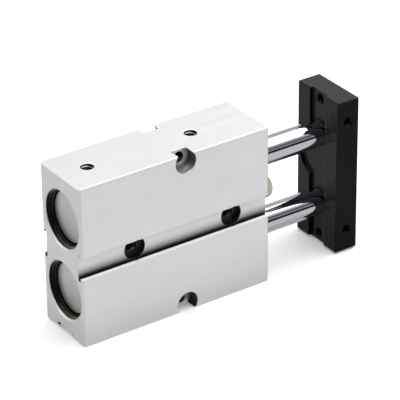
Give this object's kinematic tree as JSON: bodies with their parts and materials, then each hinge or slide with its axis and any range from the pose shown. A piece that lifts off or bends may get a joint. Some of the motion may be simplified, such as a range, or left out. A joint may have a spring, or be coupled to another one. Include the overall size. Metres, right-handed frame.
{
  "type": "guided pneumatic cylinder",
  "caption": "Compact double-rod air cylinder: flat extruded barrel with two bores, chrome rods and a black front plate that cannot turn, shown extended.",
  "frame": {"origin": "centre of the barrel's flat rear end face, midway between the two bore axes", "axes": "+X along the rods towards the front plate, +Z towards the narrow face with the two air ports, +Y across the barrel's thickness"},
  "size_m": [0.118, 0.025, 0.062],
  "materials": {
    "clear_anodised_aluminium": "fine satin, clear anodised extrusion",
    "black_anodised_plate": "black anodised, semi-gloss",
    "cap_aluminium": "turned face, satin",
    "cover_alloy": "turned, hard anodised",
    "piston_aluminium": "turned",
    "hard_chrome": "ground and hard chrome plated",
    "spring_steel": "phosphated spring steel, worn bright on the edges",
    "zinc_steel": "zinc plated",
    "black_oxide_steel": "black oxide",
    "bearing_bronze": "sintered, oil filled",
    "black_rubber": "nitrile rubber, matt",
    "tan_urethane": "soft urethane, satin",
    "damper_urethane": "soft urethane, satin",
    "magnet_ferrite": "sintered, dark grey",
    "wear_resin": "filled resin, matt"
  },
  "bodies": {
    "barrel": {"barrel_body": "clear_anodised_aluminium", "stop_nut": "zinc_steel", "upper_end_circlip": "spring_steel", "upper_end_cap": "cap_aluminium", "upper_end_cap_ring": "black_rubber", "upper_rear_damper": "damper_urethane", "upper_rod_cover": "cover_alloy", "upper_rod_cover_ring": "black_rubber", "upper_rod_bush": "bearing_bronze", "upper_rod_seal": "black_rubber", "upper_front_damper": "damper_urethane", "upper_rod_circlip": "spring_steel", "lower_end_circlip": "spring_steel", "lower_end_cap": "cap_aluminium", "lower_end_cap_ring": "black_rubber", "lower_rear_damper": "damper_urethane", "lower_rod_cover": "cover_alloy", "lower_rod_cover_ring": "black_rubber", "lower_rod_bush": "bearing_bronze", "lower_rod_seal": "black_rubber", "lower_front_damper": "damper_urethane", "lower_rod_circlip": "spring_steel"},
    "rods": {"front_plate": "black_anodised_plate", "plate_screws": "black_oxide_steel", "upper_piston_rod": "hard_chrome", "upper_piston_nut": "zinc_steel", "upper_piston_back": "piston_aluminium", "upper_magnet": "magnet_ferrite", "upper_piston": "piston_aluminium", "upper_piston_seal": "black_rubber", "upper_wear_ring": "wear_resin", "lower_piston_rod": "hard_chrome", "lower_piston_nut": "zinc_steel", "lower_piston_back": "piston_aluminium", "lower_magnet": "magnet_ferrite", "lower_piston": "piston_aluminium", "lower_piston_seal": "black_rubber", "lower_wear_ring": "wear_resin"},
    "stop": {"stop_screw": "zinc_steel", "stop_pad": "tan_urethane"}
  },
  "joints": [
    {"name": "rod_slide", "type": "slide", "parent": "barrel", "child": "rods", "axis": [1, 0, 0], "range_m": [-0.02, 0]},
    {"name": "stop_adjust", "type": "slide", "parent": "barrel", "child": "stop", "axis": [1, 0, 0], "range_m": [-0.0021, 0]}
  ]
}
